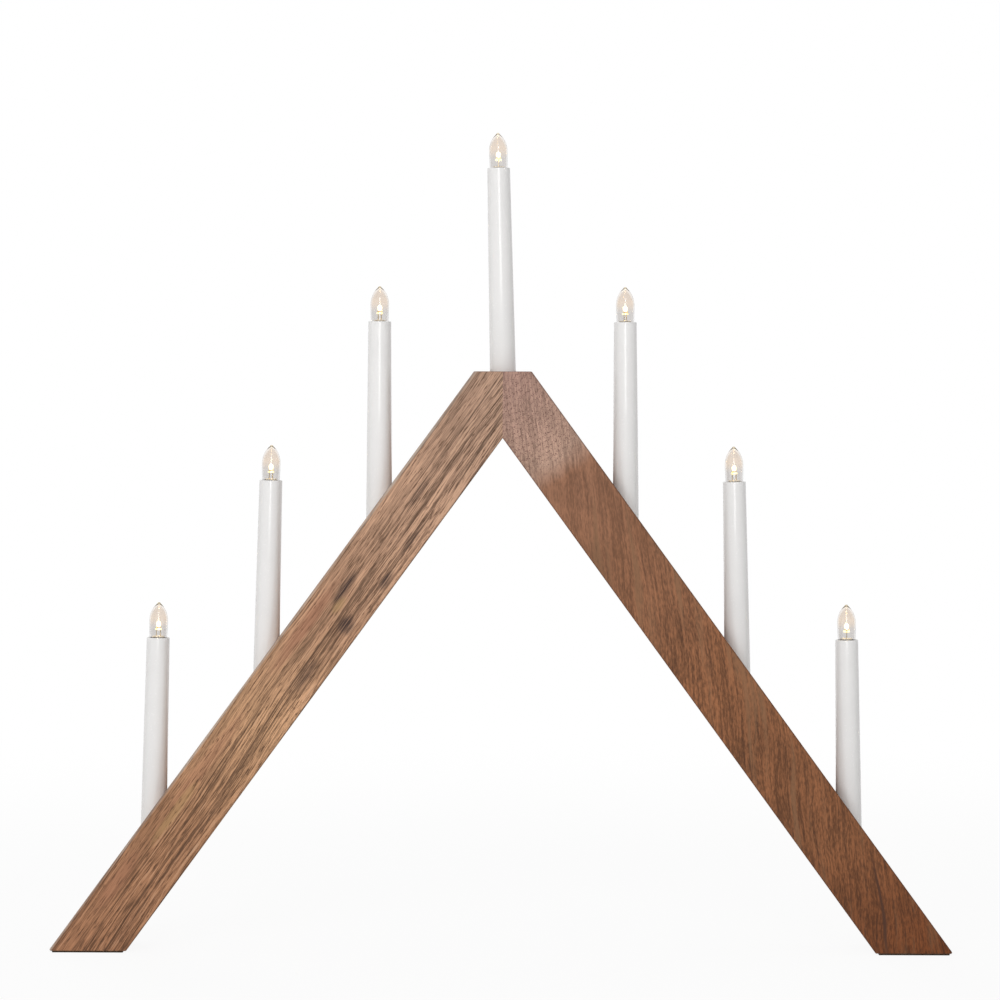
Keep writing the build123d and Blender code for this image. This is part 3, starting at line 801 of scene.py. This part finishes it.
class ARCH_OT_legs(bpy.types.Operator):
    """Gives the legs, the mitre dowels and the cover strips their wood"""

    bl_idname = "arch.legs"
    bl_label = "Wooden Legs"

    def execute(self, context):
        wood = context.scene.arch_wood
        wear(NODES["left_leg"], left_wood(wood))
        wear(NODES["right_leg"], right_wood(wood))
        wear(NODES["mitre_dowels"], plain_wood("dowel_beech", wood.dowel, MIDDLE, wood, 0.15))
        for node, side in (("left_cover_strip", LEFT), ("right_cover_strip", RIGHT)):
            wear(NODES[node], plain_wood(f"{node}_wood", wood.strip, side, wood, 0.3))
        return {"FINISHED"}


class ARCH_OT_candle_tubes(bpy.types.Operator):
    """Turns the seven tapered candle tubes"""

    bl_idname = "arch.candle_tubes"
    bl_label = "Candle Tubes"

    def execute(self, context):
        inner_top, inner_base = TUBE_TOP - TUBE_WALL, TUBE_BASE - TUBE_WALL
        r = TUBE_RIM_ROUND
        outline = [(inner_base, -TUBE_LENGTH), (TUBE_BASE - r, -TUBE_LENGTH)]
        outline += arc((TUBE_BASE - r, -TUBE_LENGTH + r), r, -90, 0, 4)
        outline += arc((TUBE_TOP - r, -r), r, 0, 90, 6)
        outline += arc((inner_top + r, -r), r, 90, 180, 6)
        outline += [(inner_base, -TUBE_LENGTH)]
        model = smooth(turned("tube_model", outline, TUBE_STEPS))
        plastic = moulded("candle_plastic", context.scene.arch_candle.tube, 0.24, 0.012, 900.0, 0.5)
        for n, tube in zip(NUMBERS, set_out(model, numbered("tube"), rim_places())):
            dress(tube, plastic, "arch", f"candle_tube_{n}")
        return {"FINISHED"}


class ARCH_OT_flames(bpy.types.Operator):
    """Blows the seven clear flame-shaped bulbs"""

    bl_idname = "arch.flames"
    bl_label = "Clear Flames"

    def execute(self, context):
        nub_foot = FLAME_TOP - NUB_HEIGHT
        hollow_top = nub_foot - TIP_THICKNESS
        ledge = CAP_RIM + FLAME_WALL
        inner_belly = BELLY - FLAME_WALL
        inner_base = FLAME_BASE - FLAME_WALL
        cross_up = BELLY_HEIGHT + FLAME_SHARE * (nub_foot - BELLY_HEIGHT)
        cross_up_in = BELLY_HEIGHT + FLAME_SHARE * (hollow_top - BELLY_HEIGHT)
        cross_down = BELLY_HEIGHT + BASE_SHARE * (CAP_RIM - BELLY_HEIGHT)
        cross_down_in = BELLY_HEIGHT + BASE_SHARE * (ledge - BELLY_HEIGHT)
        belly, hollow = (BELLY, BELLY_HEIGHT), (inner_belly, BELLY_HEIGHT)
        dome = [math.radians(a) for a in range(0, 90, 15)]
        outline = [(NUB_RADIUS * math.sin(a), nub_foot + NUB_HEIGHT * math.cos(a)) for a in dome]
        outline += sweep_curve((NUB_RADIUS, nub_foot), (BELLY, cross_up), belly, ABOVE_BELLY)
        outline += sweep_curve(belly, (BELLY, cross_down), (FLAME_BASE, CAP_RIM), BELOW_BELLY)[1:]
        outline += [(NECK_OUTER, CAP_RIM), (NECK_OUTER, NECK_END)]
        outline += [(NECK_INNER, NECK_END), (NECK_INNER, ledge)]
        outline += sweep_curve((inner_base, ledge), (inner_belly, cross_down_in), hollow, BELOW_BELLY)
        outline += sweep_curve(hollow, (inner_belly, cross_up_in), (0, hollow_top), ABOVE_BELLY)[1:]
        model = keep_height(smooth(turned("flame_model", outline, FLAME_STEPS)))
        clear = clear_flame(context.scene.arch_bulb)
        for n, flame in zip(NUMBERS, set_out(model, numbered("flame"), rim_places())):
            dress(flame, clear, f"bulb_{n}", f"bulb_envelope_{n}")
        return {"FINISHED"}


class ARCH_OT_screw_caps(bpy.types.Operator):
    """Spins the seven screw caps and rolls their threads"""

    bl_idname = "arch.screw_caps"
    bl_label = "Screw Caps"

    def execute(self, context):
        lip = CAP_RADIUS - CAP_WALL
        inner = lip - THREAD_DEPTH
        bottom = CAP_BOTTOM + CAP_WALL
        low, high = CAP_BOTTOM + CAP_ROUND, CAP_RIM - CAP_LIP
        outline = [(CAP_HOLE, bottom), (CAP_HOLE, CAP_BOTTOM), (CAP_RADIUS - CAP_ROUND, CAP_BOTTOM)]
        outline += arc((CAP_RADIUS - CAP_ROUND, low), CAP_ROUND, -90, 0, 4)[1:]
        outline += [(CAP_RADIUS, low + (high - low) * i / CAP_RINGS) for i in range(1, CAP_RINGS + 1)]
        outline += [(CAP_RADIUS, CAP_RIM - CAP_EDGE), (CAP_RADIUS - CAP_EDGE, CAP_RIM)]
        outline += [(lip, CAP_RIM), (lip, high), (inner, high - CAP_STEP)]
        outline += [(inner, bottom + CAP_WALL), (inner - CAP_WALL, bottom), (CAP_HOLE, bottom)]
        model = turned("cap_model", outline, CAP_STEPS)
        for vertex in model.data.vertices:
            radius, height = vertex.co.xy.length / MM, vertex.co.z / MM
            if radius > CAP_RADIUS - CAP_EDGE / 2 and low < height < high:
                turn = math.atan2(vertex.co.y, vertex.co.x) / math.tau
                wave = 0.5 - 0.5 * math.cos(math.tau * (height / THREAD_PITCH - turn))
                fade = min(1.0, (height - low) / THREAD_FADE, (high - height) / THREAD_FADE)
                vertex.co.xy *= 1 - wave * fade * THREAD_DEPTH / radius
        model.data.update()
        nickel = metal("cap_nickel", context.scene.arch_bulb.nickel, 0.2, (500, 500, 4000))
        for n, cap in zip(NUMBERS, set_out(smooth(model), numbered("screw_cap"), rim_places())):
            dress(cap, nickel, f"bulb_{n}", f"bulb_cap_{n}")
        return {"FINISHED"}


class ARCH_OT_diodes(bpy.types.Operator):
    """Builds the lit diodes: resin lens, lead frame, phosphor and plug"""

    bl_idname = "arch.diodes"
    bl_label = "Light Diodes"

    def lens(self):
        foot, top = LENS_FOOT, LENS_FOOT + LENS_LENGTH
        r, rim = FLANGE_ROUND, FLANGE_RADIUS
        outline = [(0, foot), (rim - r, foot)]
        outline += arc((rim - r, foot + r), r, -90, 0, 3)[1:]
        outline += arc((rim - r, foot + FLANGE_HEIGHT - r), r, 0, 90, 3)
        neck = foot + FLANGE_HEIGHT
        outline += [(LENS_RADIUS + FLANGE_FILLET, neck), (LENS_RADIUS, neck + FLANGE_FILLET)]
        outline += arc((0, top - LENS_RADIUS), LENS_RADIUS, 0, 90, 12)
        outline[-1] = (0, top)
        return keep_height(smooth(turned("lens_model", outline, LENS_STEPS)))

    def lead(self, side):
        half = LEAD_SIDE / 2
        x = side * LEAD_PITCH / 2
        lead = block("lead_model", (x - half, -half, PLUG_TOP), (x + half, half, LENS_FOOT))
        bpy.ops.object.mode_set(mode="OBJECT")
        for move, scale, middle in LEAD_TOPS[side]:
            grow_top(lead, move, scale, (x + middle, 0))
        make_active(lead)
        bevel = lead.modifiers.new("corners", "BEVEL")
        bevel.width, bevel.segments = LEAD_ROUND * MM, 2
        bpy.ops.object.modifier_apply(modifier=bevel.name)
        return lead

    def phosphor(self):
        return smooth(turned("phosphor_model", PHOSPHOR, PHOSPHOR_STEPS))

    def plug(self):
        r, radius = PLUG_ROUND, PLUG_RADIUS
        outline = [(0, PLUG_BOTTOM), (radius - r, PLUG_BOTTOM)]
        outline += arc((radius - r, PLUG_BOTTOM + r), r, -90, 0, 3)[1:]
        outline += arc((radius - r, PLUG_TOP - r), r, 0, 90, 4)
        ring_floor = PLUG_TOP - PLUG_RING_DEPTH
        outline += [(PLUG_RING_OUTER, PLUG_TOP), (PLUG_RING_OUTER - PLUG_RING_SLOPE, ring_floor)]
        outline += [(PLUG_RING_INNER + PLUG_RING_SLOPE, ring_floor), (PLUG_RING_INNER, PLUG_TOP)]
        outline += [(0, PLUG_TOP)]
        return keep_height(smooth(turned("plug_model", outline, PLUG_STEPS)))

    def execute(self, context):
        bulb = context.scene.arch_bulb
        frame_metal = metal("lead_frame", bulb.leads, 0.28, (900, 900, 300))
        frame_model = smooth(joined("lead_frame_model", [self.lead(LEFT), self.lead(RIGHT)]))
        parts = (
            ("diode_lens", self.lens(), lit_lens(bulb), "led_clear"),
            ("diode_frame", frame_model, frame_metal, "contact_brass"),
            ("diode_phosphor", self.phosphor(), lit_chip(bulb), "led_clear"),
            ("diode_plug", self.plug(), lit_plug(bulb), "holder_plastic"),
        )
        for name, model, material, slot in parts:
            for n, piece in zip(NUMBERS, set_out(model, numbered(name), rim_places(LED_TURNS))):
                dress(piece, material, f"bulb_{n}", f"bulb_led_{n}")
        return {"FINISHED"}


class ARCH_OT_strip_screws(bpy.types.Operator):
    """Makes the countersunk screws of the cover strips, with their driver recess"""

    bl_idname = "arch.strip_screws"
    bl_label = "Strip Screws"

    # Sizes in millimetres, and the turn from one screw's recess to the next in radians
    head, rim, depth, shank, length = 2.3, 0.2, 1.4, 1.2, 10.0
    edge_in, edge_up, taper, point = 0.15, 0.1, 2.0, 0.2
    recess_long, recess_wide, recess_deep, recess_taper, overrun = 1.35, 0.3, 0.85, 0.45, 0.5
    spacing, turn_step = 5.0, 0.4

    def places(self, lean):
        """Matrix of each screw, its head at zero and its axis into the wood."""
        places = []
        for side in (LEFT, RIGHT):
            along_axis, out_axis = leg_axes(side, lean)
            points = [v.co for v in NODES["strip_screws"].data.vertices if v.co.x * side > 0]
            low = min(p.dot(out_axis) for p in points)
            groups = []
            for point in sorted(points, key=lambda p: p.dot(along_axis)):
                if not groups or (point - groups[-1][-1]).dot(along_axis) > self.spacing * MM:
                    groups.append([])
                groups[-1].append(point)
            for group in groups:
                along = [p.dot(along_axis) for p in group]
                deep = [p.y for p in group]
                middle = along_axis * ((min(along) + max(along)) / 2) + out_axis * low
                middle.y = (min(deep) + max(deep)) / 2
                upright = out_axis.to_track_quat("Z", "Y").to_matrix().to_4x4()
                turn = Matrix.Rotation(self.turn_step * len(places), 4, "Z")
                places.append(Matrix.Translation(middle) @ upright @ turn)
        return places

    def execute(self, context):
        outline = [(0, 0), (self.head - self.edge_in, 0), (self.head, self.edge_up), (self.head, self.rim)]
        outline += [(self.shank, self.depth), (self.shank, self.length - self.taper)]
        outline += [(self.point, self.length), (0, self.length)]
        model = smooth(turned("strip_screw_model", outline, SCREW_STEPS))
        narrowed = (self.recess_taper, self.recess_taper, 1)
        recess_end = (0, 0, self.recess_deep * MM)
        for x, y in ((self.recess_long, self.recess_wide), (self.recess_wide, self.recess_long)):
            cutter = block("recess", (-x, -y, -self.overrun), (x, y, self.recess_deep))
            pick_faces(cutter, lambda middle, normal: normal.z > UPWARD)
            bpy.ops.transform.resize(value=narrowed, center_override=recess_end)
            make_active(model)
            cut = model.modifiers.new("recess", "BOOLEAN")
            cut.operation, cut.solver, cut.object = "DIFFERENCE", "EXACT", cutter
            bpy.ops.object.modifier_apply(modifier=cut.name)
            bpy.data.objects.remove(cutter)
        places = self.places(context.scene.arch_wood.lean)
        steel = metal("screw_steel", context.scene.arch_candle.steel, 0.3, (600, 600, 600))
        names = [f"strip_screw_{i + 1}" for i in range(len(places))]
        for screw in set_out(model, names, places):
            dress(screw, steel, "arch", "strip_screws")
        return {"FINISHED"}


class ARCH_OT_foot_pads(bpy.types.Operator):
    """Cuts the two felt foot pads"""

    bl_idname = "arch.foot_pads"
    bl_label = "Foot Pads"

    def execute(self, context):
        # The felt's dark tone is partly the felt's own colour and partly painted shade, drawing the dark
        # line under each foot
        felt = felt_finish(context.scene.arch_candle.felt)
        for node in ("left_foot_pad", "right_foot_pad"):
            low, high = (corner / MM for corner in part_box(node))
            pad = block(node.replace("foot_pad", "felt"), low, high)
            bpy.ops.mesh.select_all(action="SELECT")
            bpy.ops.mesh.bevel(offset=FELT_ROUND * MM, segments=2)
            bpy.ops.mesh.select_all(action="SELECT")
            bpy.ops.mesh.subdivide(number_cuts=3)
            dress(smooth(pad), felt, "arch", node)
        return {"FINISHED"}


class ARCH_OT_fittings(bpy.types.Operator):
    """Gives the holders, contacts, wires and the cord gland their finishes"""

    bl_idname = "arch.fittings"
    bl_label = "Fittings"

    def execute(self, context):
        candle = context.scene.arch_candle
        holder = moulded("holder_plastic", candle.holder, 0.45)
        tip = moulded("tip_insulator", candle.tip, 0.35, 0.2)
        brass = metal("contact_brass", candle.brass, 0.25, (300, 300, 2500))
        sheath = moulded("wire_sheath", candle.sheath, 0.5, 0.08)
        gland = moulded("gland_plastic", candle.gland, 0.5, 0.15, 1200.0)
        for n in NUMBERS:
            wear(NODES[f"lamp_holder_{n}"], holder)
            wear(NODES[f"bulb_contact_{n}"], tip)
        for node in ("holder_shells", "holder_contacts"):
            wear(NODES[node], brass)
        for node in ("link_wires", "supply_wire", "return_wire"):
            wear(NODES[node], sheath)
        wear(NODES["cord_gland"], gland)
        return {"FINISHED"}


class ARCH_OT_stage(bpy.types.Operator):
    """Sets the floor, the lamps, the surrounding light and the camera"""

    bl_idname = "arch.stage"
    bl_label = "Stage"

    def floor(self):
        clear_selection()
        bpy.ops.mesh.primitive_plane_add(size=1.0)
        floor = named(bpy.context.object, "floor")
        bpy.ops.object.mode_set(mode="EDIT")
        bpy.ops.mesh.select_all(action="SELECT")
        bpy.ops.transform.resize(value=(FLOOR_SIZE, FLOOR_SIZE, 1.0), center_override=(0, 0, 0))
        bpy.ops.transform.translate(value=(0, 0, -FLOOR_DROP))
        bpy.ops.mesh.subdivide(number_cuts=FLOOR_CUTS)
        bpy.ops.object.mode_set(mode="OBJECT")
        material, n = finish("pale_floor")
        paint = n.add("ShaderNodeBsdfDiffuse", None, {"Color": (0.9, 0.9, 0.9, 1.0)})
        white = n.add("ShaderNodeEmission", None, {"Color": (1, 1, 1, 1), "Strength": 1.0})
        away = n.add("ShaderNodeVectorMath", {"operation": "LENGTH"}, {0: n.point()}, output="Value")
        share = n.plainly_seen() * n.fit(away, 0.4, 1.3, 0.92, 1.0)
        both = n.add("ShaderNodeMixShader", None, {0: share, 1: paint, 2: white})
        n.add("ShaderNodeOutputMaterial", None, {"Surface": both})
        wear(floor, material)

    def surroundings(self, scene, ambient):
        world = bpy.data.worlds.new("studio")
        world.use_nodes = True
        scene.world = world
        n = Nodes(world.node_tree)
        soft = n.add("ShaderNodeBackground", None, {"Color": (1, 1, 1, 1), "Strength": ambient})
        white = n.add("ShaderNodeBackground", None, {"Color": (1, 1, 1, 1), "Strength": 1.0})
        both = n.add("ShaderNodeMixShader", None, {0: n.plainly_seen(), 1: soft, 2: white})
        n.add("ShaderNodeOutputWorld", None, {"Surface": both})

    def lamp(self, name, place, size, power, mirrored):
        clear_selection()
        bpy.ops.object.light_add(type="AREA", location=place)
        lamp = named(bpy.context.object, name)
        lamp.rotation_euler = (Vector(LAMP_TARGET) - Vector(place)).to_track_quat("-Z", "Y").to_euler()
        lamp.data.shape = "RECTANGLE"
        lamp.data.size, lamp.data.size_y = size
        lamp.data.energy = power
        lamp.visible_glossy = mirrored
        lamp.visible_transmission = mirrored

    def camera(self, scene, stage):
        clear_selection()
        bpy.ops.object.camera_add(location=stage.camera, rotation=(math.pi / 2, stage.roll, 0))
        camera = named(bpy.context.object, "camera")
        camera.data.sensor_width = SENSOR_WIDTH
        camera.data.lens = stage.lens
        camera.data.shift_x, camera.data.shift_y = stage.shift
        camera.data.clip_start = CLIP_START
        camera.data.clip_end = CLIP_END
        scene.camera = camera

    def execute(self, context):
        scene = context.scene
        stage = scene.arch_stage
        self.floor()
        self.surroundings(scene, stage.ambient)
        for name, (place, size, mirrored) in LAMPS.items():
            self.lamp(f"{name}_lamp", place, size, getattr(stage, name), mirrored)
        self.camera(scene, stage)
        scene.view_settings.view_transform = "Standard"
        return {"FINISHED"}


PIECE_OPERATORS = (
    ARCH_OT_legs,
    ARCH_OT_candle_tubes,
    ARCH_OT_flames,
    ARCH_OT_screw_caps,
    ARCH_OT_diodes,
    ARCH_OT_strip_screws,
    ARCH_OT_foot_pads,
    ARCH_OT_fittings,
    ARCH_OT_stage,
)


class VIEW3D_PT_candle_arch(bpy.types.Panel):
    """Lists the pieces of the candle arch"""

    bl_label = "Candle Arch"
    bl_space_type = "VIEW_3D"
    bl_region_type = "UI"
    bl_category = "Candle Arch"

    def draw(self, context):
        column = self.layout.column(align=True)
        for operator in PIECE_OPERATORS:
            column.operator(operator.bl_idname)
        for group in SETTINGS:
            box = self.layout.box()
            settings = getattr(context.scene, group)
            for name in settings.bl_rna.properties.keys():
                if name not in ("rna_type", "name"):
                    box.prop(settings, name)


SETTINGS = {
    "arch_wood": ArchWoodSettings,
    "arch_candle": ArchCandleSettings,
    "arch_bulb": ArchBulbSettings,
    "arch_stage": ArchStageSettings,
}
CLASSES = (*SETTINGS.values(), *PIECE_OPERATORS, VIEW3D_PT_candle_arch)


def register():
    for cls in CLASSES:
        bpy.utils.register_class(cls)
    for name, group in SETTINGS.items():
        setattr(bpy.types.Scene, name, bpy.props.PointerProperty(type=group))


def unregister():
    for name in SETTINGS:
        delattr(bpy.types.Scene, name)
    for cls in reversed(CLASSES):
        bpy.utils.unregister_class(cls)


def main():
    register()
    bpy.ops.arch.legs()
    bpy.ops.arch.candle_tubes()
    bpy.ops.arch.flames()
    bpy.ops.arch.screw_caps()
    bpy.ops.arch.diodes()
    bpy.ops.arch.strip_screws()
    bpy.ops.arch.foot_pads()
    bpy.ops.arch.fittings()
    bpy.ops.arch.stage()


if __name__ == "__main__":
    main()
